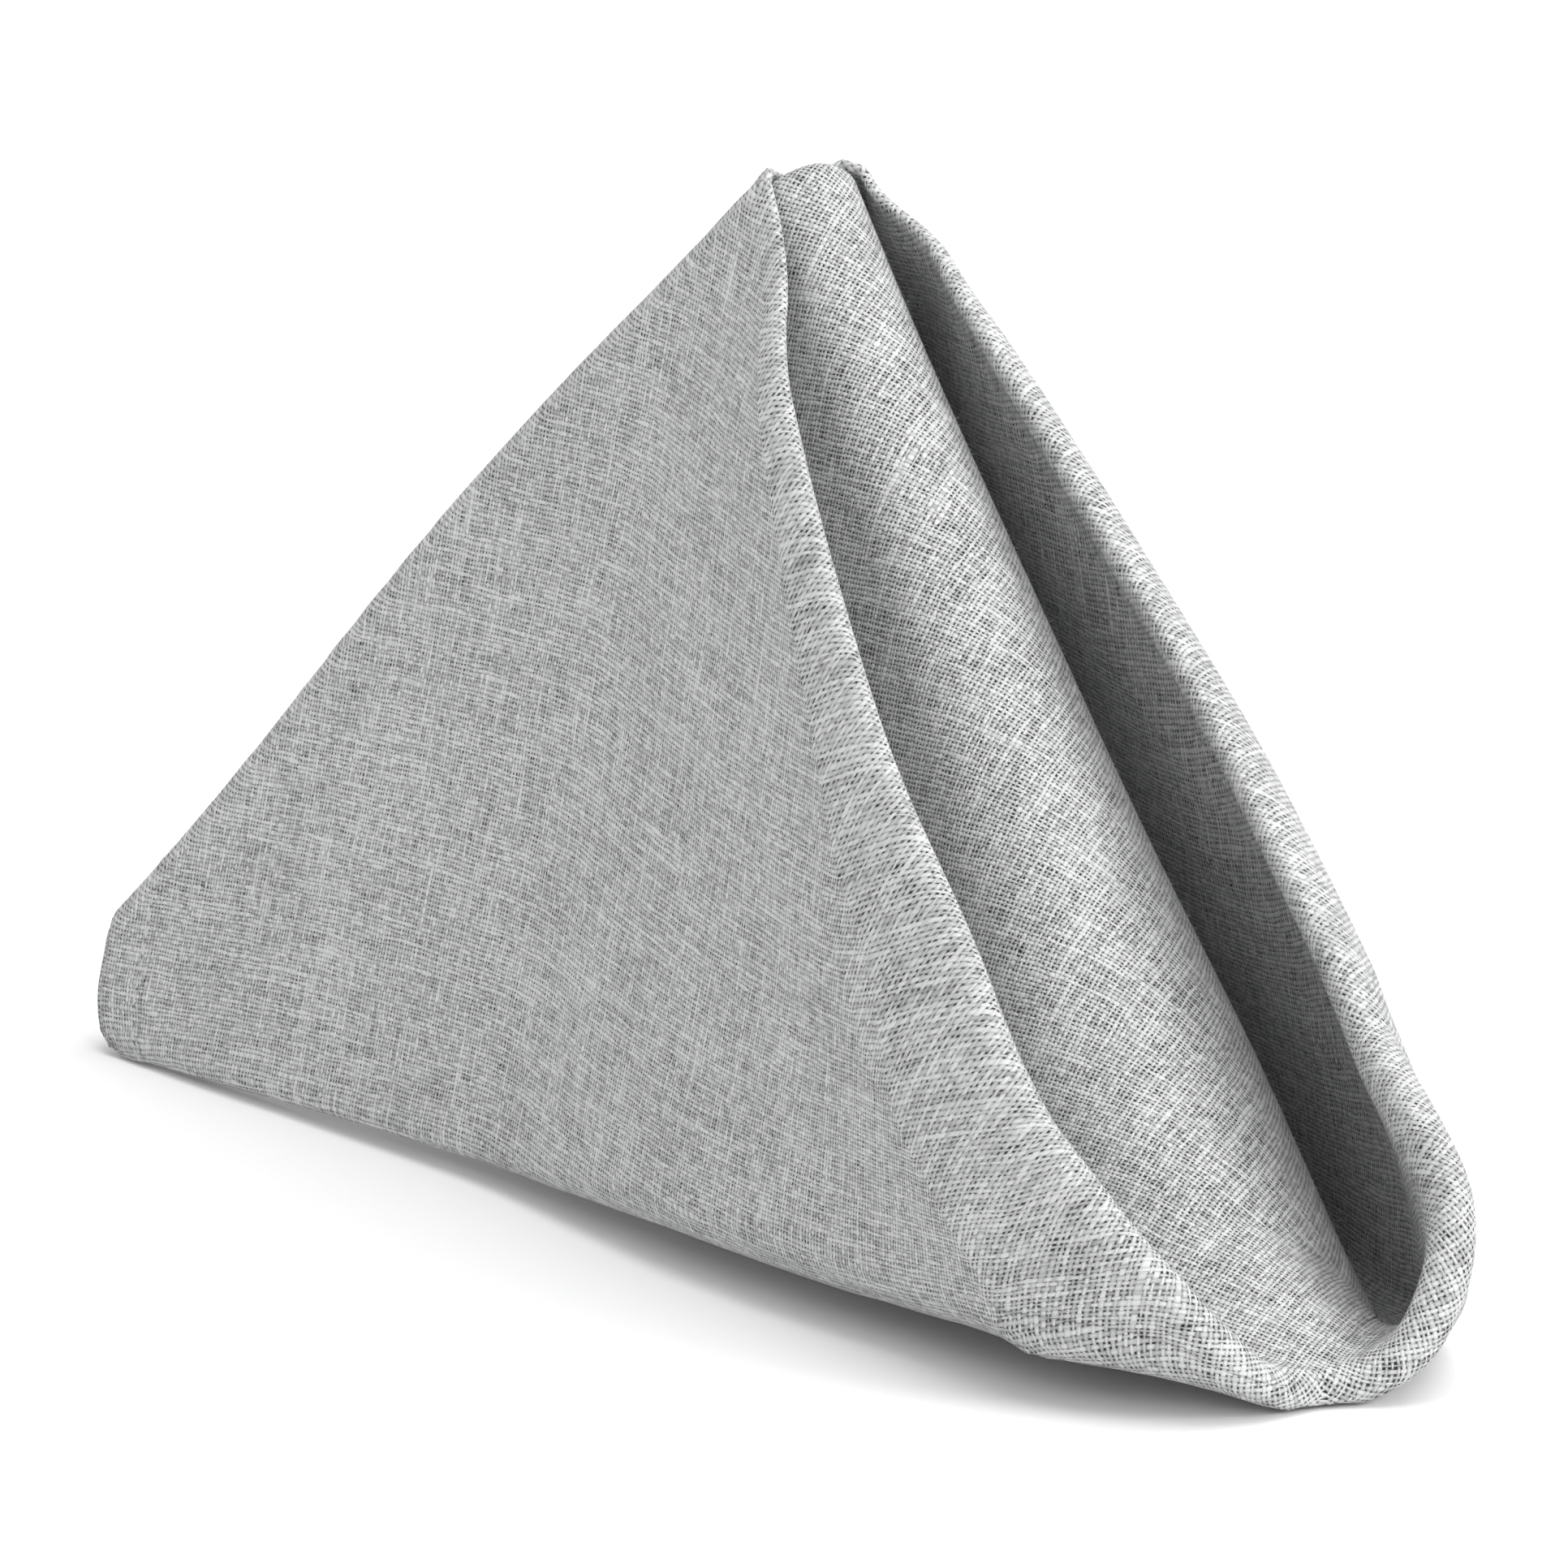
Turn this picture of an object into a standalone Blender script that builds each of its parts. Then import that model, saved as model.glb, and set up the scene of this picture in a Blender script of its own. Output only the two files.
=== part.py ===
"""Square table napkin folded into a standing tent, its seam open at the front.

The cloth is one hemmed square. It is turned along a diagonal, both ends of the long
edge are turned up and over along the thread, the top third goes back under, and the
packet is bent down the middle so that it stands on its two bottom folds.
Metres, +Z up, nose of the tent at the front (-Y), origin on the table under the middle.
"""
import math

import bpy
import numpy as np

MM = 0.001

# ---- the cloth
SIDE = 508 * MM             # edge of the square napkin, a 20 inch dinner napkin
CLOTH = 1.0 * MM            # thickness of one layer
LAYER = 1.8 * MM            # middle of one layer to middle of the next, packed flat
OVER = 12.7 * MM            # third fold lies this far past the middle of the diamond
SLOPE = math.radians(17)    # each side of the tent off the upright middle plane
REST = 0.45 * MM            # how far the bottom folds are pressed flat on the table
PRESSED = 30 * MM           # the flaps close on the cloth below over this run up to the third fold
ROLL_REACH = 22 * MM        # how far the soft roll of the mouth's rim opens the layers
EVEN_OUT = 60 * MM          # run over which the layers come level again behind that roll

HALF_SIDE = SIDE / 2
DIAGONAL = SIDE / math.sqrt(2)      # napkin centre to corner
MIDDLE = DIAGONAL / 2               # napkin centre to the line through the edge middles
BACK = MIDDLE + OVER                # the third fold, from the nose

# ---- short tables, all columns in mm but for the last one's degrees
# from the nose along a bottom fold | inside radius of the flap's turn
FLAP_TURN = [(0, 5.1), (20, 5.3), (45, 6.2), (75, 6.0), (100, 5.0), (115, 3.3), (127, 1.6),
             (137, 0.75), (260, 0.75)]
# from the nose up the middle | radius of the bend down the middle
MIDDLE_BEND = [(-10, 40), (0, 33), (12, 23), (28, 19), (60, 18), (97, 14.6), (133, 11.4),
               (156, 10.0), (180, 9.8), (215, 9.8)]
# from the nose along the first fold | radius of its roll
RIM_ROLL = [(0, 2.6), (60, 2.0), (150, 1.5), (185, 0.8), (400, 0.75)]
# from the nose along a bottom fold | how far the flap is turned over, degrees
FLAP_OVER = [(0, 75), (30, 152), (60, 171), (100, 178), (140, 180), (260, 180)]

# rows of the mesh in mm, the first ones from the napkin's centre
ROWS_FRONT = (4, 9, 14, 20, 27, 36, 47, 60, 75, 92, 110, 128, 146, 162)
ROWS_EDGE = (0, 0.7, 1.6, 2.7)      # past the line through the edge middles
ROWS_BACK = (-7, 0, 1.89, 3.77, 5.66, 7.54, 9.43, 11.31, 13.2, 15.1, 22, 36, 66, 100)
ROWS_CORNER = (30, 12, 5)           # short of the corner, which is blunt
TURN_STEPS, RIM_STEPS, MIDDLE_STEPS, FLAT_STEPS = 6, 4, 4, 1


def along(table, s):
    """Smooth value from a two column table at the distances s."""
    rows = np.array(table, float) * MM
    x, y = rows[:, 0], rows[:, 1]
    step = np.diff(x)
    grade = np.diff(y) / step
    lean = np.zeros_like(y)
    lean[0], lean[-1] = grade[0], grade[-1]
    for i in range(1, len(x) - 1):
        if grade[i - 1] * grade[i] > 0:
            near, far = 2 * step[i] + step[i - 1], step[i] + 2 * step[i - 1]
            lean[i] = (near + far) / (near / grade[i - 1] + far / grade[i])
    s = np.clip(s, x[0], x[-1])
    k = np.clip(np.searchsorted(x, s, side="right") - 1, 0, len(x) - 2)
    u = (s - x[k]) / step[k]
    ends = (2 * u**3 - 3 * u**2 + 1) * y[k] + (3 * u**2 - 2 * u**3) * y[k + 1]
    return ends + step[k] * ((u**3 - 2 * u**2 + u) * lean[k] + (u**3 - u**2) * lean[k + 1])


def ease(u):
    u = np.clip(u, 0, 1)
    return u * u * (3 - 2 * u)


def turn(past, up, radius, ref, full=math.pi):
    """Cloth lying `past` a fold line and `up` off it, turned about an axis `radius` above."""
    angle = np.clip(past / ref, 0, full)
    rest = np.maximum(past - full * ref, 0)
    arm = radius - up
    across = arm * np.sin(angle) + rest * np.cos(full)
    height = radius - arm * np.cos(angle) + rest * np.sin(full)
    return np.where(past > 0, across, past), np.where(past > 0, height, up)


def pack(a, b):
    """Napkin thread positions a, b to the flat packet: across, from the nose, height."""
    m, n = (a - b) / math.sqrt(2), (a + b) / math.sqrt(2)
    # first fold, the lower half turned under along the diagonal with a soft roll
    roll = along(RIM_ROLL, np.abs(m))
    past, down = turn(-n, 0 * n, roll, roll)
    rest = np.maximum(-n - math.pi * roll, 0)
    soft = LAYER + (2 * roll - LAYER) * np.exp(-((rest / ROLL_REACH) ** 2))
    y = -past + math.pi * roll * ease(rest / EVEN_OUT)
    z = -np.where(rest > 0, soft, down)
    # second fold, each end of the long edge turned up and over along the thread
    side = np.where(m < 0, -1.0, 1.0)
    foot, past = (np.abs(m) + y) / math.sqrt(2), (np.abs(m) - y) / math.sqrt(2)
    radius = along(FLAP_TURN, foot)
    full = np.radians(along(FLAP_OVER, foot) / MM)
    past, z = turn(past, z, radius, radius + LAYER / 2, full)
    x, y = side * (foot + past) / math.sqrt(2), (foot - past) / math.sqrt(2)
    # towards the third fold the flaps lie close on the cloth below
    shut = 1 - (1 - LAYER / (2 * radius)) * ease((y - BACK) / PRESSED + 1)
    z = np.where(z > 0, np.minimum(z, 2 * radius) * shut + np.maximum(z - 2 * radius, 0), z)
    # third fold, everything past the back line goes underneath
    past, down = turn(y - BACK, -z, 1.5 * LAYER, 2 * LAYER)
    return x, BACK + past, -down


def tent(x, y, z):
    """The packet bent down its middle and stood up, nose forward."""
    radius = along(MIDDLE_BEND, y)
    most = math.pi / 2 - SLOPE
    angle = np.minimum(np.abs(x) / radius, most)
    rest = np.maximum(np.abs(x) - radius * most, 0)
    arm = radius + z
    across = np.sign(x) * (arm * np.sin(angle) + rest * np.cos(angle))
    out = arm * np.cos(angle) - radius - rest * np.sin(angle)
    rise = math.atan(math.cos(SLOPE))
    back, up = y * math.cos(rise) - out * math.sin(rise), y * math.sin(rise) + out * math.cos(rise)
    return across, back, up


def table_line():
    """Lowest line of the bottom folds: place from front to back, height."""
    foot, past = np.meshgrid(np.linspace(0, 254, 90) * MM, np.linspace(-3, 20, 47) * MM)
    x, y, z = tent(*pack(-past, -foot))
    low, col = z.argmin(0), np.arange(z.shape[1])
    order = np.argsort(y[low, col])
    places = np.linspace(0, 245, 13) * MM
    return places, np.interp(places, y[low, col][order], z[low, col][order])


def stand(a, b):
    """Middle of the cloth in the standing napkin, settled on the table at height 0."""
    x, y, z = tent(*pack(a, b))
    places, lows = table_line()
    z = z - np.interp(y, places, lows)
    return x, y, np.maximum(z - REST, 0) + CLOTH / 2


def spaced(first, last, length):
    """Node distances over a length, fine at both ends and never out of order."""
    first, last = np.array(first), np.array(last)
    last = last * min(1.0, 0.8 * length / max(last[-1], 1e-9))
    first = first * min(1.0, 0.8 * (length - last[-1]) / max(first[-1], 1e-9))
    last = length - last[::-1]
    return np.concatenate([first, np.linspace(first[-1], last[0], FLAT_STEPS + 2)[1:-1], last])


def quarters(t):
    """Points of the four quarters of the ring at t from the napkin's centre."""
    h = max(min(t, DIAGONAL - t), 1e-9)
    foot = min(t * math.sqrt(2), HALF_SIDE)
    flap = math.sqrt(2) * math.pi * (float(along(FLAP_TURN, foot * 0.8)) + LAYER / 2)
    flap = max(flap - 2 * max(t - MIDDLE, 0), min(3 * MM, h / 2)) / TURN_STEPS
    roll = float(along(RIM_ROLL, t))
    place = t if t < BACK else 2 * (BACK + math.pi * LAYER) - t
    bend = float(along(MIDDLE_BEND, place)) * (math.pi / 2 - SLOPE) / MIDDLE_STEPS
    flaps = [i * flap for i in range(TURN_STEPS + 1)]
    shift = math.pi * (float(along(FLAP_TURN, t / math.sqrt(2))) + LAYER / 2) / math.sqrt(2)
    bends = [0]
    for i in range(1, MIDDLE_STEPS + 1):
        bends.append(max(i * bend - shift, bends[-1] + 1.5 * MM))
    rolls = [i * roll * math.pi / RIM_STEPS for i in range(RIM_STEPS)]
    upper = spaced(flaps, bends, h)
    lower = spaced(flaps, rolls + [roll * math.pi + s for s in bends], h)
    plain = spaced([0], [i * bend for i in range(MIDDLE_STEPS + 1)], h)
    halves = [(plain, plain), (upper, lower), (plain, plain), (lower, upper)]
    rings = []
    for i, (start, end) in enumerate(halves):
        w = np.concatenate([start, (2 * h - end[::-1])[1:]]) - h
        a, b = (t - w) / math.sqrt(2), (t + w) / math.sqrt(2)
        for _ in range(i):
            a, b = -b, a
        rings.append(list(zip(a, b)))
    return rings


def cloth_grid():
    """Points of the flat square and the faces between them, rings round its centre."""
    rows = [r * MM for r in ROWS_FRONT] + [MIDDLE + r * MM for r in ROWS_EDGE]
    rows += [BACK + r * MM for r in ROWS_BACK] + [DIAGONAL - r * MM for r in ROWS_CORNER]
    points, faces, before = [(0.0, 0.0)], [], None
    for t in rows:
        ring, closed = [], t <= MIDDLE + 1e-9
        for i, quarter in enumerate(quarters(t)):
            ids = []
            for j, point in enumerate(quarter):
                if closed and i > 0 and j == 0:
                    ids.append(ring[i - 1][-1])
                elif closed and i == 3 and j == len(quarter) - 1:
                    ids.append(ring[0][0])
                else:
                    points.append(point)
                    ids.append(len(points) - 1)
            ring.append(ids)
        for i, ids in enumerate(ring):
            for j in range(len(ids) - 1):
                inner = (before[i][j], before[i][j + 1]) if before else (0, 0)
                face = (inner[0], ids[j], ids[j + 1], inner[1])
                faces.append(tuple(dict.fromkeys(face)))
        before = ring
    return np.array(points), faces


def thicken(middle, faces, thickness):
    """Both faces of the cloth and the edge between them, from its middle surface."""
    lean = np.zeros_like(middle)
    edges = {}
    for face in faces:
        p = middle[list(face)]
        lean[list(face)] += np.cross(p[2] - p[0], p[-1] - p[1])
        for k, v in enumerate(face):
            w = face[(k + 1) % len(face)]
            edges[(v, w)] = edges.get((v, w), 0) + 1
    lean /= np.linalg.norm(lean, axis=1)[:, None]
    n = len(middle)
    points = np.concatenate([middle + lean * thickness / 2, middle - lean * thickness / 2])
    rim = [(w, v, v + n, w + n) for v, w in edges if (w, v) not in edges]
    return points, faces + [tuple(v + n for v in reversed(f)) for f in faces] + rim


def grey_linen():
    mat = bpy.data.materials.new("grey_linen")
    mat.use_nodes = True
    shader = mat.node_tree.nodes["Principled BSDF"]
    shader.inputs["Base Color"].default_value = (0.40, 0.42, 0.45, 1)
    shader.inputs["Roughness"].default_value = 0.9
    return mat


for old in list(bpy.data.objects):
    bpy.data.objects.remove(old)

flat, faces = cloth_grid()
middle = np.stack(stand(flat[:, 0], flat[:, 1]), axis=1)
points, faces = thicken(middle, faces, CLOTH)
low, high = points.min(axis=0), points.max(axis=0)
points -= ((low[0] + high[0]) / 2, (low[1] + high[1]) / 2, low[2])
points[:, 2] = np.where(points[:, 2] < 0.05 * MM, 0, points[:, 2])
mesh = bpy.data.meshes.new("napkin")
mesh.from_pydata(points.tolist(), [], faces)
mesh.update()
mesh.materials.append(grey_linen())
napkin = bpy.data.objects.new("napkin", mesh)
bpy.context.scene.collection.objects.link(napkin)
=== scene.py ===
"""Grey linen-look dinner napkin, folded into a standing tent: cloth, hem, stitches, fibres, studio."""

import math

import bpy
import numpy as np
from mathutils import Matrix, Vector


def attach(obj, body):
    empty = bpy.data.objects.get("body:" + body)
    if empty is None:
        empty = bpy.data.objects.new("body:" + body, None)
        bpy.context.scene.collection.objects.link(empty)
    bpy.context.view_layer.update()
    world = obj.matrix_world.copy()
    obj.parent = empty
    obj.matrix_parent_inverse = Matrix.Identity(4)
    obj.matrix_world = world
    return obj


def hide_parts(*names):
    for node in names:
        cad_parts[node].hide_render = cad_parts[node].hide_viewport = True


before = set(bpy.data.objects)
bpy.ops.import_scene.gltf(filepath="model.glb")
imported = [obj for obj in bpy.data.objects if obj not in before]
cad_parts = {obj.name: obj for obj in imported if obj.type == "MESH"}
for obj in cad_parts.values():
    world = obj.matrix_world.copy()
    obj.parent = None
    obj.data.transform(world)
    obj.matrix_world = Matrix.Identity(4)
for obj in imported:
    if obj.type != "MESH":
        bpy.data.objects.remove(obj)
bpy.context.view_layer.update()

MM = 0.001

# the camera, fitted to the photo's outline of the fold
CAMERA_TURN = math.radians(25.85)       # to the left of straight in front
CAMERA_RISE = math.radians(12.37)
CAMERA_AWAY = 2.0855
CAMERA_LOOKS_AT = (-0.0257, -0.0232, 0.0616)
FRAME_PX, FOCAL_PX, SENSOR = 1932, 20225.0, 36.0
LIGHTS_AIM = (0, 0, 0.05)

# the cloth
SIDE = 508 * MM             # edge of the square, a 20 inch dinner napkin
CLOTH = 0.34 * MM           # thickness of the cloth
LAYER = 0.7 * MM            # middle of one layer to middle of the next
HEM = 9.5 * MM              # width of the hem
HEM_EXTRA = 0.16 * MM       # how much thicker the cloth is in the hem
STITCH_IN = 8.0 * MM        # the row of stitches, from the edge
STITCH = 2.4 * MM           # one stitch to the next
STITCH_LONG, STITCH_WIDE, STITCH_HIGH = 1.8 * MM, 0.40 * MM, 0.13 * MM
NEEDLE_WIDE, NEEDLE_LONG = 0.42 * MM, 0.45 * MM  # from the middle of a needle hole to its rim
HEM_STEP = 0.7 * MM         # run over which the hem's extra thickness ends
THREAD = 0.65 * MM          # one thread of the weave to the next
HOLLOW = 30 * MM            # half the width of cloth that stands clear down the middle
FUZZY = 38 * MM             # half the width of cloth with more loose fibres, down the middle
FUZZY_FROM, FUZZY_TO = 20 * MM, 188 * MM  # and its two ends, from the napkin's centre
FIBRE_LONG, FIBRE_THIN = 1.5 * MM, 0.016 * MM  # longest fibre, half of a fibre's thickness at its root
OVER = 12.7 * MM            # third fold, past the middle of the diamond
SLOPE_LEFT, SLOPE_RIGHT = math.radians(17.0), math.radians(16.0)
REST = 0.22 * MM            # how far the bottom folds are pressed flat
PRESSED_LEFT, PRESSED_RIGHT = 36 * MM, 16 * MM  # run over which a flap closes, up to the third fold
PRESSED_TO = 1.0 * MM       # how far the flaps' inner faces stay apart there
THIRD_ROLL = 1.9 * MM       # middle of the upper base layer to the axis of the third fold
EVEN = 9 * MM               # run over which the values of the tables are evened out
SHARED = 40 * MM            # width in the middle over which left and right settle together
SMALL_STEP = 0.15 * MM      # step along a thread with which its direction is found
ROLL_REACH = 22 * MM        # how far the soft roll of the rim opens the layers
NOSE_FORWARD = 121.81 * MM  # from the fold's own nose to the middle of the CAD box

# the weave, in threads
WANDER_FAR, WANDER_NEAR = 1.1, 0.85     # how far a yarn strays over long and short runs
YARN_HALF = 0.365                       # half a yarn's usual width
YARN_UNEVEN, YARN_DRIFT = 0.62, 0.10    # how much that width changes over short and long runs
RISE = 0.30                             # how far a yarn rises over a crossing
RELIEF = 0.16 * MM                      # height of the weave
TINT, CROSSING_TINT, BLOTCH = 0.95, 0.30, 0.16  # how much yarns, crossings and patches differ

HALF_SIDE = SIDE / 2
DIAGONAL = SIDE / math.sqrt(2)
MIDDLE = DIAGONAL / 2
BACK = MIDDLE + OVER

# short tables in mm: from the nose along a bottom fold | inside radius of the flap's turn
FLAP_TURN = [(0, 5.14), (20, 5.35), (45, 6.4), (75, 6.25), (100, 5.5), (120, 4.4), (137, 3.2),
             (160, 1.7), (200, 1.4), (260, 1.9)]
# from the nose along a bottom fold | the right flap's roll in percent of the left one's
RIGHT_ROLL = [(0, 100), (12, 84), (30, 57), (45, 52), (60, 53), (80, 56), (120, 56), (137, 79),
              (160, 129), (260, 140)]
# from the nose up the middle | radius of the bend down the middle
MIDDLE_BEND = [(-10, 40.4), (0, 32.7), (12, 23.2), (28, 19.2), (60, 18.1), (97, 14.35),
               (133, 11.2), (156, 9.2), (180, 7.8), (215, 7.4)]
# from the nose up the middle | how much wider that bend is on the right
RIGHT_FULLER = [(-10, 8), (8, 7.6), (20, 5.2), (32, 4.3), (44, 3.9), (60, 3.2), (75, 2.2),
                (100, 0.8), (130, 0), (165, -0.7), (215, -0.9)]
# along the third fold from the middle | how far it bows away from the nose
BACK_BOW = [(0, 2.5), (14, 1.3), (30, 1.7), (50, 2.4), (73, 2.2), (92, 1.2), (110, -0.3),
            (129, -2.3), (148, -3.8), (166, -4.7), (185, -4.7), (200, -4.4)]
# from the nose along the first fold | radius of its roll
RIM_ROLL = [(0, 2.6), (60, 2.0), (160, 1.5), (190, 0.7), (202, 0.45), (400, 0.45)]
# the same | the right side's rim in percent of the left one's
RIGHT_RIM = [(0, 100), (30, 115), (60, 130), (120, 135), (170, 125), (205, 110), (400, 100)]
# the same | how far the right flap's lip flares away from the middle, and over what width
RIGHT_LIP = [(0, 0), (15, 0.1), (40, 0.8), (80, 3.2), (120, 3.0), (160, 1.8),
             (188, 0.5), (205, 0), (400, 0)]
LIP_WIDE = 17 * MM
# along the table from the nose's tip | how far the left bottom fold arches off it
LEFT_ARCH = [(0, 0.3), (6, 0.5), (12, 1.5), (20, 5.0), (28, 5.8), (40, 4.9), (60, 4.2), (80, 4.1),
             (95, 3.9), (110, 3.6), (132, 2.7), (156, 2.2), (172, 1.8), (200, 1.1), (225, 0.4), (260, 0)]
ARCH_HIGH = 42 * MM         # height of cloth that gives way to that arch
TIP_TUCK = [(90, 0), (104, 1.2), (118, 6), (130, 7)]  # back from the middle | how far the foot is tucked in
TIP_HIGH = 9 * MM           # height of cloth that is tucked in
# from the nose along a bottom fold | how far the flap is turned over, degrees
FLAP_OVER = [(0, 73), (30, 152.6), (60, 171.6), (100, 178.7), (140, 180), (260, 180)]

# soft troughs and ridges in the flaps, mm: side | from across, up | to across, up | width | height
SWELLS = [
    ("left", 9, 170, 14, 50, 4, 0.5),
    ("left", 22, 132, 19.5, 66, 4.5, -0.5),
    ("left", 24, 174, 44, 146, 7, 0.4),
    ("left", 44, 140, 19, 56, 6, 0.45),
    ("left", 75, 150, 95, 118, 8, -0.35),
    ("left", 120, 160, 70, 84, 9, 0.35),
    ("right", 9, 165, 13, 60, 4, 0.5),
    ("right", 60, 150, 30, 70, 7, -0.5),
    ("right", 110, 165, 80, 110, 9, 0.4),
]

# nodes of the cloth's mesh
TURN_STEPS, RIM_STEPS, BEND_STEPS, FLAT_STEPS = 9, 8, 9, 12
ROW_GAP = 2.25 * MM
TO_EDGE = 30 * MM           # run over which the nodes change from the fold's places to the hem's


def along(table, s):
    """Smooth value from a two column table at the distances s."""
    rows = np.array(table, float) * MM
    x, y = rows[:, 0], rows[:, 1]
    step = np.diff(x)
    grade = np.diff(y) / step
    lean = np.zeros_like(y)
    lean[0], lean[-1] = grade[0], grade[-1]
    for i in range(1, len(x) - 1):
        if grade[i - 1] * grade[i] > 0:
            near, far = 2 * step[i] + step[i - 1], step[i] + 2 * step[i - 1]
            lean[i] = (near + far) / (near / grade[i - 1] + far / grade[i])
    s = np.clip(s, x[0], x[-1])
    k = np.clip(np.searchsorted(x, s, side="right") - 1, 0, len(x) - 2)
    u = (s - x[k]) / step[k]
    ends = (2 * u**3 - 3 * u**2 + 1) * y[k] + (3 * u**2 - 2 * u**3) * y[k + 1]
    return ends + step[k] * ((u**3 - 2 * u**2 + u) * lean[k] + (u**3 - u**2) * lean[k + 1])


def evened(table, s):
    """The same with its corners evened out over a short run."""
    shares = ((-2, 1), (-1, 2), (0, 3), (1, 2), (2, 1))
    return sum(along(table, s + k * EVEN / 2) * w for k, w in shares) / 9


def ease(u):
    u = np.clip(u, 0, 1)
    return u * u * (3 - 2 * u)


def turn(past, up, radius, ref, full=math.pi):
    """Cloth lying `past` a fold line and `up` off it, turned about an axis `radius` above."""
    angle = np.clip(past / ref, 0, full)
    rest = np.maximum(past - full * ref, 0)
    arm = radius - up
    across = arm * np.sin(angle) + rest * np.cos(full)
    height = radius - arm * np.cos(angle) + rest * np.sin(full)
    return np.where(past > 0, across, past), np.where(past > 0, height, up)


def swell(x, y):
    """Height of the soft troughs and ridges at a place of the packet."""
    total = 0 * x
    for side, x0, y0, x1, y1, width, height in SWELLS:
        here = -x if side == "left" else x
        dx, dy = (x1 - x0) * MM, (y1 - y0) * MM
        run = math.hypot(dx, dy)
        s = ((here - x0 * MM) * dx + (y - y0 * MM) * dy) / run
        off = ((here - x0 * MM) * dy - (y - y0 * MM) * dx) / run
        past = np.maximum(np.maximum(-s, s - run), 0)
        total = total + height * MM * np.exp(-(off**2 + past**2) / (width * MM) ** 2) * (here > 0)
    return total


def pack(a, b):
    """Napkin thread positions a, b to the flat packet: across, from the nose, height."""
    m, n = (a - b) / math.sqrt(2), (a + b) / math.sqrt(2)
    roll = evened(RIM_ROLL, np.abs(m)) * np.where(m > 0, evened(RIGHT_RIM, np.abs(m)) / (100 * MM), 1.0)
    past, down = turn(-n, 0 * n, roll, roll)
    rest = np.maximum(-n - math.pi * roll, 0)
    soft = LAYER + (2 * roll - LAYER) * np.exp(-((rest / ROLL_REACH) ** 2))
    y, z = -past, -np.where(rest > 0, soft, down)
    z = z - (m > 0) * evened(RIGHT_LIP, np.abs(m)) * np.maximum(1 - y / LIP_WIDE, 0) ** 2
    side = np.where(m < 0, -1.0, 1.0)
    foot, past = (np.abs(m) + y) / math.sqrt(2), (np.abs(m) - y) / math.sqrt(2)
    radius = evened(FLAP_TURN, foot)
    tighter = evened(RIGHT_ROLL, foot) / (100 * MM)
    radius = np.where(m > 0, np.maximum(radius * tighter, LAYER / 2), radius)
    full = np.radians(evened(FLAP_OVER, foot) / MM)
    flap = ease(past / (math.pi * radius))
    past, z = turn(past, z, radius, radius + LAYER / 2, full)
    x, y = side * (foot + past) / math.sqrt(2), (foot - past) / math.sqrt(2)
    z = z + flap * swell(x, y)
    back = BACK + evened(BACK_BOW, np.abs(x))
    closing = ease((y - back) / np.where(m < 0, PRESSED_LEFT, PRESSED_RIGHT) + 1)
    shut = 1 - (1 - np.minimum(PRESSED_TO / (2 * radius), 1)) * closing
    z = np.where(z > 0, np.minimum(z, 2 * radius) * shut + np.maximum(z - 2 * radius, 0), z)
    past, down = turn(y - back, -z, THIRD_ROLL, THIRD_ROLL + LAYER / 2)
    return x, back + past, -down


def tent(x, y, z):
    """The packet bent down its middle and stood up, nose forward."""
    radius = evened(MIDDLE_BEND, y) + (x > 0) * evened(RIGHT_FULLER, y)
    most = math.pi / 2 - np.where(x > 0, SLOPE_RIGHT, SLOPE_LEFT)
    angle = np.minimum(np.abs(x) / radius, most)
    rest = np.maximum(np.abs(x) - radius * most, 0)
    arm = radius + z
    across = np.sign(x) * (arm * np.sin(angle) + rest * np.cos(angle))
    out = arm * np.cos(angle) - radius - rest * np.sin(angle)
    rise = math.atan(math.cos((SLOPE_LEFT + SLOPE_RIGHT) / 2))
    back, up = y * math.cos(rise) - out * math.sin(rise), y * math.sin(rise) + out * math.cos(rise)
    return across, back, up


def table_lines():
    """Lowest line of the left and of the right bottom fold: places from front to back, heights."""
    foot, past = np.meshgrid(np.linspace(0, 254, 90) * MM, np.linspace(-3, 20, 47) * MM)
    places, heights = np.linspace(0, 245, 13) * MM, []
    for a, b in ((-foot, -past), (-past, -foot)):
        x, y, z = tent(*pack(a, b))
        low, col = z.argmin(0), np.arange(z.shape[1])
        order = np.argsort(y[low, col])
        heights.append(np.interp(places, y[low, col][order], z[low, col][order]))
    return places, heights


TABLE_LINES = table_lines()


def stand(a, b):
    """Middle of the cloth in the standing napkin, settled on the table at height 0."""
    x, y, z = tent(*pack(a, b))
    places, (left, right) = TABLE_LINES
    share = ease(x / SHARED + 0.5)
    z = z - (1 - share) * np.interp(y, places, left) - share * np.interp(y, places, right)
    z = np.maximum(z - REST, 0)
    z = z + (1 - share) * evened(LEFT_ARCH, y) * (1 - ease(z / ARCH_HIGH))
    y = y - NOSE_FORWARD
    y = y - along(TIP_TUCK, y) * np.clip(1 - z / TIP_HIGH, 0, 1) ** 2
    return np.stack([x, y, z + CLOTH / 2], axis=-1)


def spaced(first, last, length):
    """Node distances over a length, fine at both ends and never out of order."""
    first, last = np.array(first), np.array(last)
    last = last * min(1.0, 0.5 * length / max(last[-1], 1e-9))
    first = first * min(1.0, 0.5 * length / max(first[-1], 1e-9))
    last = length - last[::-1]
    return np.concatenate([first, np.linspace(first[-1], last[0], FLAT_STEPS + 2)[1:-1], last])


def steps(length, count):
    return [i * length / count for i in range(count + 1)]


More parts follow.
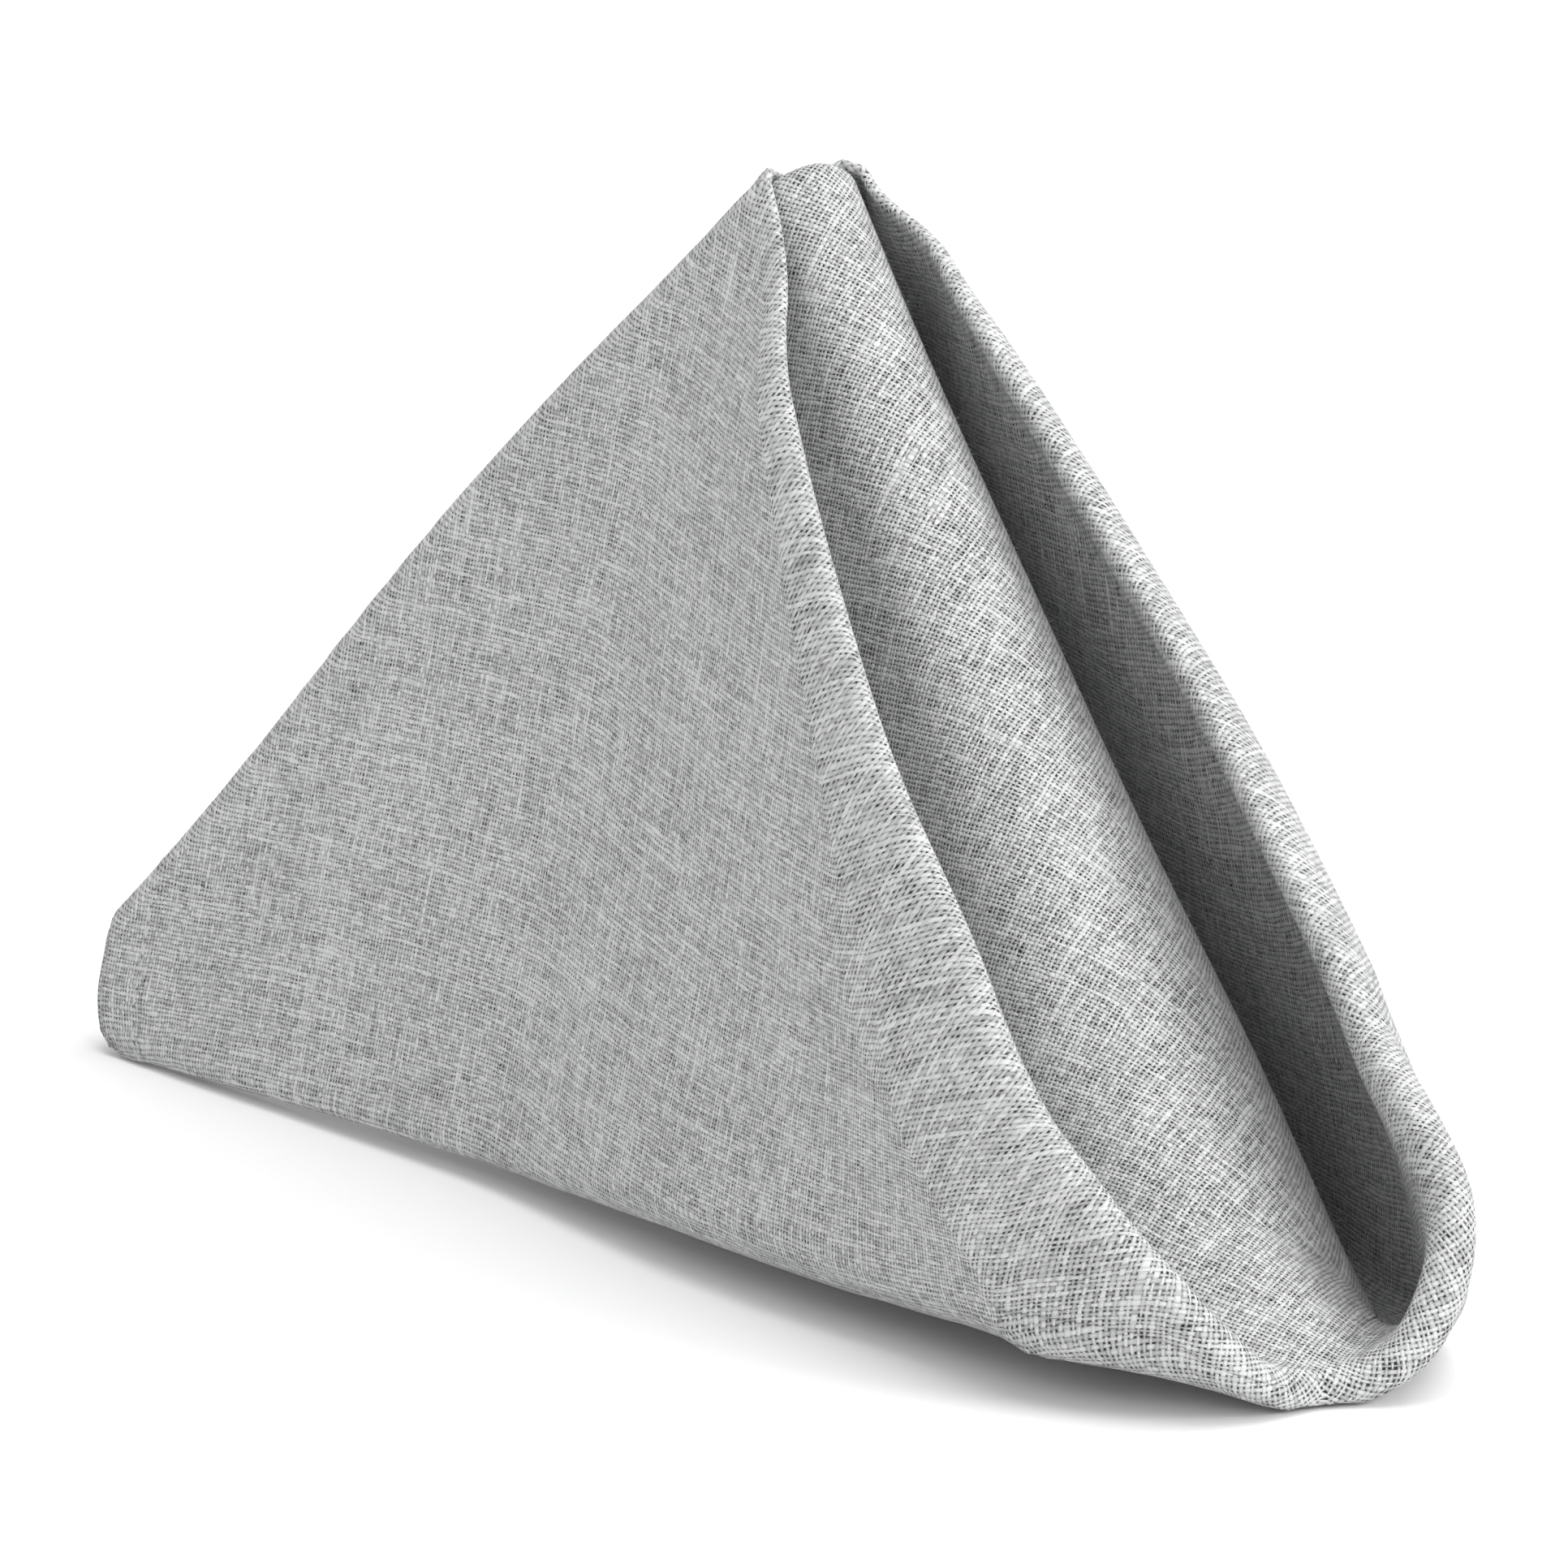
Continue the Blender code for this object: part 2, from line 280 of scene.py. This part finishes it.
def quarters(t):
    """Points of the four quarters of the ring at t from the napkin's centre."""
    h = max(min(t, DIAGONAL - t), 1e-9)
    foot = min(t * math.sqrt(2), HALF_SIDE)
    flap = math.sqrt(2) * math.pi * (float(along(FLAP_TURN, foot * 0.8)) + LAYER / 2)
    roll = math.pi * float(along(RIM_ROLL, t))
    place = t if t < BACK else 2 * BACK + math.pi * THIRD_ROLL - t
    bend = float(along(MIDDLE_BEND, place)) * (math.pi / 2 - SLOPE_RIGHT)
    hem = math.sqrt(2) * HEM
    edge = [0, 1.2 * MM, 2.5 * MM, 4.0 * MM, 6.5 * MM, hem - 0.3 * MM, hem + 0.5 * MM,
            1.6 * hem, 2.4 * hem, 3.3 * hem]
    near_edge = float(ease((t - MIDDLE) / TO_EDGE + 1))
    flat = [0] * (TURN_STEPS + 1) if t < 2 * flap else steps(flap, TURN_STEPS)
    ends = [[e * near_edge + f * (1 - near_edge) for e, f in zip(edge, ways)]
            for ways in (steps(flap, TURN_STEPS), steps(flap, TURN_STEPS), flat, flat)]
    shift = math.pi * (float(along(FLAP_TURN, t / math.sqrt(2))) + LAYER / 2) / math.sqrt(2)
    near = max(bend - shift, BEND_STEPS * 0.5 * MM)
    rolls = steps(roll, RIM_STEPS)
    upper = spaced(ends[0], steps(near, BEND_STEPS), h)
    lower = spaced(ends[1], rolls + [roll + s for s in steps(near, BEND_STEPS)[1:]], h)
    plain = spaced(ends[2], steps(bend, BEND_STEPS), h)
    halves = [(plain, plain), (upper, lower), (plain, plain), (lower, upper)]
    rings = []
    for i, (start, end) in enumerate(halves):
        w = np.concatenate([start, (2 * h - end[::-1])[1:]]) - h
        a, b = (t - w) / math.sqrt(2), (t + w) / math.sqrt(2)
        for _ in range(i):
            a, b = -b, a
        rings.append(np.stack([a, b], axis=-1))
    return rings


def row_places():
    """Distances of the mesh's rows from the napkin's centre."""
    arc = math.pi * (THIRD_ROLL + LAYER)
    marks = [0.0, 6 * MM, MIDDLE, BACK - 8 * MM, BACK - 1 * MM, BACK + arc + 1 * MM, BACK + arc + 10 * MM,
             DIAGONAL - 14 * MM, DIAGONAL - 0.6 * MM]
    counts = [4, 0, 0, 5, 14, 5, 0, 10]
    rows = []
    for (low, high), count in zip(zip(marks, marks[1:]), counts):
        count = count or max(1, round((high - low) / ROW_GAP))
        rows += [low + (high - low) * i / count for i in range(count)]
    return rows[1:] + [marks[-1]]


def cloth_grid():
    """Points of the flat square and the faces between them, rings round its centre."""
    points, faces, before = [(0.0, 0.0)], [], None
    for t in row_places():
        ring, closed = [], t <= MIDDLE + 1e-9
        for i, quarter in enumerate(quarters(t)):
            ids = []
            for j, point in enumerate(quarter):
                if closed and i > 0 and j == 0:
                    ids.append(ring[i - 1][-1])
                elif closed and i == 3 and j == len(quarter) - 1:
                    ids.append(ring[0][0])
                else:
                    points.append(point)
                    ids.append(len(points) - 1)
            ring.append(ids)
        for i, ids in enumerate(ring):
            for j in range(len(ids) - 1):
                inner = (before[i][j], before[i][j + 1]) if before else (0, 0)
                face = (inner[0], ids[j], ids[j + 1], inner[1])
                faces.append(tuple(dict.fromkeys(face)))
        before = ring
    return np.array(points, float), faces


def leans(a, b):
    """Directions out of the cloth's upper face, and along its two threads."""
    over = stand(a + SMALL_STEP, b) - stand(a - SMALL_STEP, b)
    up = stand(a, b + SMALL_STEP) - stand(a, b - SMALL_STEP)
    out = np.cross(over, up)
    size = np.linalg.norm(out, axis=-1, keepdims=True)
    return out / np.maximum(size, 1e-12), over, up


def edge_gap(a, b):
    """Distance to the nearest edge of the cloth."""
    return np.minimum(HALF_SIDE - np.abs(a), HALF_SIDE - np.abs(b))


def add_piece(name, points, faces, smooth=True):
    """A mesh object in the scene, with no point below the table."""
    points[:, 2] = np.maximum(points[:, 2], 0)
    mesh = bpy.data.meshes.new(name)
    mesh.from_pydata(points.tolist(), [], faces)
    mesh.update()
    if smooth:
        mesh.polygons.foreach_set("use_smooth", [True] * len(mesh.polygons))
    piece = bpy.data.objects.new(name, mesh)
    bpy.context.scene.collection.objects.link(piece)
    return piece


def folded_cloth():
    """The hemmed square, folded: both faces and the edge, with the threads as its own UV map."""
    flat, faces = cloth_grid()
    a, b = flat[:, 0], flat[:, 1]
    middle = stand(a, b)
    out = np.zeros_like(middle)
    for k in range(4):
        quads = np.array([f for f in faces if len(f) == 4])
        p, before, after = (middle[quads[:, (k + j) % 4]] for j in (0, 3, 1))
        np.add.at(out, quads[:, k], np.cross(after - p, before - p))
    size = np.linalg.norm(out, axis=1, keepdims=True)
    out = np.where(size > 0, out / np.maximum(size, 1e-15), (0.0, 0.0, 1.0))
    thick = CLOTH / 2 + HEM_EXTRA / 2 * (1 - ease((edge_gap(a, b) - HEM + HEM_STEP / 2) / HEM_STEP))
    top, under = middle + out * thick[:, None], middle - out * thick[:, None]
    n = len(middle)
    edges = {}
    for face in faces:
        for k, v in enumerate(face):
            edges[(v, face[(k + 1) % len(face)])] = 1
    rim = [(w, v, v + n, w + n) for v, w in edges if (w, v) not in edges]
    both = faces + [tuple(v + n for v in reversed(f)) for f in faces] + rim
    piece = add_piece("napkin_cloth", np.concatenate([top, under]), both)
    mesh = piece.data
    uv = mesh.uv_layers.new(name="threads")
    at = np.concatenate([flat, flat]) / SIDE + 0.5
    corner = np.empty(len(mesh.loops), dtype=np.int32)
    mesh.loops.foreach_get("vertex_index", corner)
    uv.data.foreach_set("uv", at[corner].astype(np.float32).ravel())
    return piece


class Line:
    """A socket of the material, with arithmetic that adds the nodes for it."""

    def __init__(self, made, socket):
        self.made, self.socket = made, socket

    def maths(self, operation, *others):
        return self.made.node("Math", {"operation": operation}, dict(enumerate((self, *others))))

    def __add__(self, other):
        return self.maths("ADD", other)

    def __sub__(self, other):
        return self.maths("SUBTRACT", other)

    def __mul__(self, other):
        return self.maths("MULTIPLY", other)

    def __truediv__(self, other):
        return self.maths("DIVIDE", other)

    def __rsub__(self, other):
        return self.made.node("Math", {"operation": "SUBTRACT"}, {0: other, 1: self})

    __radd__, __rmul__ = __add__, __mul__


class Making:
    """Node tree of one material."""

    def __init__(self, name):
        self.material = bpy.data.materials.new(name)
        self.material.use_nodes = True
        self.tree = self.material.node_tree
        self.shader = self.tree.nodes["Principled BSDF"]

    def node(self, kind, settings=(), values=(), output=0):
        made = self.tree.nodes.new("ShaderNode" + kind)
        for name, value in dict(settings).items():
            setattr(made, name, value)
        for name, value in dict(values).items():
            self.put(made.inputs[name], value)
        return Line(self, made.outputs[output])

    def put(self, socket, value):
        if isinstance(value, Line):
            self.tree.links.new(value.socket, socket)
        else:
            socket.default_value = value


def woven_linen(name, base, dark):
    """Plain weave of uneven yarns: warp and weft by the cloth's own threads, with slubs and small holes,
    and painted shade on the yarns' flanks and in the holes.
    """
    m = Making(name)
    place = m.node("UVMap", {"uv_map": "threads"})
    split = m.node("SeparateXYZ", values={0: place})
    over, up = split, Line(m, split.socket.node.outputs[1])
    count = SIDE / THREAD

    def noise(vector, scale, detail=1.0):
        amounts = {"Vector": vector, "Scale": scale, "Detail": detail, "Roughness": 0.5}
        return m.node("TexNoise", {"noise_dimensions": "3D"}, amounts)

    def vector(x, y, z=0.0):
        return m.node("CombineXYZ", values={0: x, 1: y, 2: z})

    # the yarns wander a little
    def wander(across_it, along_it, seed):
        far = noise(vector(across_it * 0.07, along_it * 0.07, seed), 1.0, 2.0) - 0.5
        near = noise(vector(across_it * 0.8, along_it * 0.10, seed + 6.0), 1.0, 1.0) - 0.5
        return across_it + far * WANDER_FAR + near * WANDER_NEAR

    u, v = wander(over * count, up * count, 1.5), wander(up * count, over * count, 3.7)
    iu, iv = u.maths("FLOOR"), v.maths("FLOOR")
    fu, fv = (u - iu - 0.5).maths("ABSOLUTE"), (v - iv - 0.5).maths("ABSOLUTE")

    def thickness(across_it, along_it, seed):
        """Half width of a yarn: it changes along it, and now and then swells to a long slub."""
        short = noise(vector(across_it * 3.17, along_it * 0.30, seed), 1.0, 1.0)
        long = noise(vector(across_it * 5.31, along_it * 0.03, seed + 4.0), 1.0, 1.0)
        slub = (long - 0.66).maths("MAXIMUM", 0.0) * 2.2
        return YARN_HALF + (short - 0.5) * YARN_UNEVEN + (long - 0.5) * YARN_DRIFT + slub, slub

    warp_wide, warp_slub = thickness(iu, v, 1.0)
    weft_wide, weft_slub = thickness(iv, u, 9.0)

    def yarn(off, wide, along_it, across_it):
        """Round profile of a yarn, up over one crossing and down under the next."""
        part = (off / wide).maths("MINIMUM", 1.0)
        wave = ((along_it + across_it) * math.pi).maths("COSINE")
        return (1.0 - part * part * part) * (wave * RISE + (1 - RISE))

    warp = yarn(fu, warp_wide, v - 0.5, iu)
    weft = yarn(fv, weft_wide, u - 0.5, iv + 1.0)
    height = warp.maths("MAXIMUM", weft)
    lift = m.node("Bump", values={"Strength": 1.0, "Distance": RELIEF, "Height": height})
    # tint: each yarn its own, slubs lighter; the small holes between the yarns are painted dark with the
    # shade seen through them
    warp_tint = noise(vector(iu * 7.7, v * 0.05, 5.0), 1.0)
    weft_tint = noise(vector(u * 0.05, iv * 7.7, 2.0), 1.0)
    on_top = ((warp - weft) * 4.0 + 0.5).maths("MAXIMUM", 0.0).maths("MINIMUM", 1.0)
    tint = warp_tint * on_top + weft_tint * (1.0 - on_top) - 0.5
    slub = warp_slub * on_top + weft_slub * (1.0 - on_top)
    # the painted shade in the holes is deepest where the cloth stands clear of the layer below it and the
    # dark hollow shows through, down the middle of the fold
    off_middle = (over - up) * (SIDE / math.sqrt(2) / HOLLOW)
    hollow_shade = (0.0 - off_middle * off_middle).maths("EXPONENT")

    def chance(x, y, seed):
        return m.node("TexWhiteNoise", {"noise_dimensions": "3D"}, {"Vector": vector(x, y, seed)})

    patchy = noise(vector(over * 40.0, up * 40.0, 8.0), 4.0, 2.0) * 1.6 - 0.5
    each = chance((u + 0.5).maths("FLOOR"), (v + 0.5).maths("FLOOR"), 3.0)
    hole_shade_depth = (patchy + each * 1.1 + hollow_shade * 0.3).maths("MAXIMUM", 0.1)
    hole_shade = ((fu - warp_wide).maths("MINIMUM", fv - weft_wide) * 8.0 + 0.5).maths("MAXIMUM", 0.0)
    hole_shade = (hole_shade.maths("MINIMUM", 1.0) * hole_shade_depth).maths("MINIMUM", 0.97)
    crossing = chance(iu, iv, 7.0) - 0.5
    blotch = noise(vector(over * 8.0, up * 8.0, 4.4), 3.0, 3.0) - 0.5
    # painted shade: each yarn is lighter on its crown and darker where it dips between and under the
    # others, more so over the hollow; the crossing, tint and blotch terms are the cloth's own uneven colour
    tone = 0.83 + (height - 0.85) * (0.50 + hollow_shade * 0.20) + crossing * CROSSING_TINT + tint * TINT
    tone = (tone + slub * 0.3 + blotch * BLOTCH) * (1.0 - hole_shade)
    # the hem: needle holes along the row of stitches painted dark as shade, and painted shade at its inner
    # edge
    from_a, from_b = ((0.5 - (place - 0.5).maths("ABSOLUTE")) * SIDE for place in (over, up))
    inward = from_a.maths("MINIMUM", from_b)
    by_a = ((from_b - from_a) * 1e6).maths("MAXIMUM", 0.0).maths("MINIMUM", 1.0)
    run = ((up * by_a + over * (1.0 - by_a)) * (SIDE / STITCH)).maths("FRACT")
    across, run = (inward - STITCH_IN) / NEEDLE_WIDE, (run - 0.5) * (STITCH / NEEDLE_LONG)
    needle_hole_shade = (1.0 - across * across - run * run).maths("MAXIMUM", 0.0)
    step = (inward - HEM) / HEM_STEP
    tone = tone * (1.0 - needle_hole_shade * 0.75) * (1.0 - (0.0 - step * step).maths("EXPONENT") * 0.16)
    share = tone.maths("MAXIMUM", 0.0).maths("MINIMUM", 1.0)
    ends = {"Factor": share, "A": (*dark, 1), "B": (*base, 1)}
    colour = m.node("Mix", {"data_type": "RGBA"}, ends, output=2)
    m.put(m.shader.inputs["Base Color"], colour)
    m.put(m.shader.inputs["Normal"], lift)
    set_values(m.shader, {"Roughness": 0.92, "Specular IOR Level": 0.25,
                          "Sheen Weight": 0.12, "Sheen Roughness": 0.5})
    return m.material


def set_values(tree_node, values):
    for name, value in values.items():
        tree_node.inputs[name].default_value = value


def yarn_finish(name, colour):
    """Spun thread: one colour with a fine uneven tint."""
    m = Making(name)
    where = m.node("TexCoord", output=3)
    grain = m.node("TexNoise", values={"Vector": where, "Scale": 2600.0, "Detail": 1.0})
    tone = m.node("Mix", {"data_type": "RGBA"}, {"Factor": grain, "A": (*[c * 0.8 for c in colour], 1),
                                                "B": (*[c * 1.15 for c in colour], 1)}, output=2)
    m.put(m.shader.inputs["Base Color"], tone)
    set_values(m.shader, {"Roughness": 0.8})
    return m.material


def hem_stitches():
    """One stitch made as a short rounded cushion of thread, then set along all four hems on both faces."""
    bpy.ops.object.select_all(action="DESELECT")
    bpy.ops.mesh.primitive_uv_sphere_add(segments=8, ring_count=6, radius=0.5)
    one = bpy.context.object
    shape = np.array([v.co[:] for v in one.data.vertices])
    sides = [tuple(p.vertices) for p in one.data.polygons]
    bpy.data.objects.remove(one)
    shape = shape * (STITCH_LONG, STITCH_WIDE, STITCH_HIGH)
    count = int((SIDE - 2 * STITCH_IN) / STITCH)
    line = (np.arange(count) + 0.5) / count * (SIDE - 2 * STITCH_IN) - (HALF_SIDE - STITCH_IN)
    off = np.full_like(line, HALF_SIDE - STITCH_IN)
    a = np.concatenate([line, off, line, -off])
    b = np.concatenate([off, line, -off, line])
    along_a = np.concatenate([off > 0, off < 0, off > 0, off < 0])
    out, over, up = leans(a, b)
    run = np.where(along_a[:, None], over, up)
    run /= np.linalg.norm(run, axis=1, keepdims=True)
    across = np.cross(out, run)
    middle = stand(a, b)
    points, faces = [], []
    for face in (1, -1):
        seat = middle + out * face * (CLOTH / 2 + HEM_EXTRA / 2)
        for k in range(len(a)):
            base = len(points) * len(shape)
            long_way, wide_way = shape[:, :1] * run[k], shape[:, 1:2] * across[k]
            points.append(seat[k] + long_way + wide_way + shape[:, 2:] * out[k])
            faces += [tuple(v + base for v in f) for f in sides]
    return add_piece("hem_stitches", np.concatenate(points), faces)


def loose_fibres(count):
    """Short ends of fibre that stand off the yarns on the outer faces of the fold."""
    rng = np.random.default_rng(7)
    # one part all over, three parts on the cloth down the middle, whose edge stands against the dark
    a, b = rng.uniform(-HALF_SIDE + HEM, HALF_SIDE - HEM, (2, count // 4))
    rest = count - len(a)
    turned, far = rng.uniform(-FUZZY, FUZZY, rest), rng.uniform(FUZZY_FROM, FUZZY_TO, rest)
    a = np.concatenate([a, (far + turned) / math.sqrt(2)])
    b = np.concatenate([b, (far - turned) / math.sqrt(2)])
    out, over, up = leans(a, b)
    n = len(a)
    face = np.where((rng.random(n) < 0.5) & (np.arange(n) < count // 4), -1.0, 1.0)[:, None]
    root = stand(a, b) + out * face * CLOTH * 0.4
    swing = rng.normal(size=(n, 3))
    swing -= out * (swing * out).sum(1, keepdims=True)
    swing /= np.linalg.norm(swing, axis=1, keepdims=True)
    length = rng.uniform(0.25, 1.0, n)[:, None] ** 2 * FIBRE_LONG
    curl = rng.normal(size=(n, 3)) * 0.25
    path = [root]
    for k in range(3):
        share = (k + 1) / 3
        lift = out * face * (1 - 0.35 * share)
        path.append(root + length * share * (lift + swing * 0.7 * share + curl * share**2))
    points, faces = [], []
    side = np.cross(out, swing)
    for k, place in enumerate(path):
        wide = FIBRE_THIN * (1 - 0.25 * k)
        for j in range(3):
            turned = 2 * math.pi * j / 3
            round_it = swing * math.cos(turned) + side * math.sin(turned)
            points.append(place + wide * round_it)
    points = np.stack(points, axis=1).reshape(-1, 3)
    for i in range(n):
        base = i * 12
        for k in range(3):
            for j in range(3):
                p, q = base + k * 3 + j, base + k * 3 + (j + 1) % 3
                faces.append((p, q, q + 3, p + 3))
        faces += [(base + 2, base + 1, base), (base + 9, base + 10, base + 11)]
    return add_piece("loose_fibres", points, faces, smooth=False)


def camera():
    data = bpy.data.cameras.new("camera")
    data.sensor_width, data.lens = SENSOR, FOCAL_PX * SENSOR / FRAME_PX
    data.clip_start, data.clip_end = 0.1, 50
    piece = bpy.data.objects.new("camera", data)
    bpy.context.scene.collection.objects.link(piece)
    turned, rise = CAMERA_TURN, CAMERA_RISE
    flat = math.cos(rise)
    back = np.array([-math.sin(turned) * flat, -math.cos(turned) * flat, math.sin(rise)])
    piece.location = np.array(CAMERA_LOOKS_AT) + back * CAMERA_AWAY
    piece.rotation_euler = (-Vector(back)).to_track_quat("-Z", "Y").to_euler()
    bpy.context.scene.camera = piece


def softbox(name, place, size, power):
    data = bpy.data.lights.new(name, "AREA")
    data.shape, data.size, data.energy = "SQUARE", size, power
    piece = bpy.data.objects.new(name, data)
    bpy.context.scene.collection.objects.link(piece)
    piece.location = place
    piece.rotation_euler = (Vector(place) - Vector(LIGHTS_AIM)).to_track_quat("Z", "Y").to_euler()


def studio():
    bpy.ops.object.select_all(action="DESELECT")
    bpy.ops.mesh.primitive_plane_add(size=14, location=(0, 0, -0.0002))
    floor = bpy.context.object
    floor.name = "floor"
    finish = bpy.data.materials.new("white_paper")
    finish.use_nodes = True
    paper = finish.node_tree.nodes["Principled BSDF"]
    set_values(paper, {"Base Color": (0.9, 0.9, 0.9, 1), "Roughness": 0.9})
    floor.data.materials.append(finish)
    world = bpy.data.worlds.new("studio")
    world.use_nodes = True
    back = world.node_tree.nodes["Background"]
    set_values(back, {"Color": (1, 1, 1, 1), "Strength": 0.68})
    bpy.context.scene.world = world
    softbox("overhead", (0.45, -0.15, 2.2), 2.0, 37)
    softbox("front_right", (1.5, -2.0, 1.2), 0.9, 30)
    softbox("front_fill", (-0.5, -2.3, 0.7), 1.4, 17)
    bpy.context.scene.view_settings.view_transform = "Standard"


camera()
cloth = folded_cloth()
cloth.data.materials.append(woven_linen("grey_linen", (0.60, 0.603, 0.607), (0.012, 0.0125, 0.0135)))
stitches = hem_stitches()
stitches.data.materials.append(yarn_finish("grey_sewing_thread", (0.52, 0.525, 0.53)))
fibres = loose_fibres(6000)
fibres.data.materials.append(yarn_finish("pale_fibre", (0.62, 0.63, 0.64)))
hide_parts("napkin")
for piece in (cloth, stitches, fibres):
    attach(piece, "root")
studio()
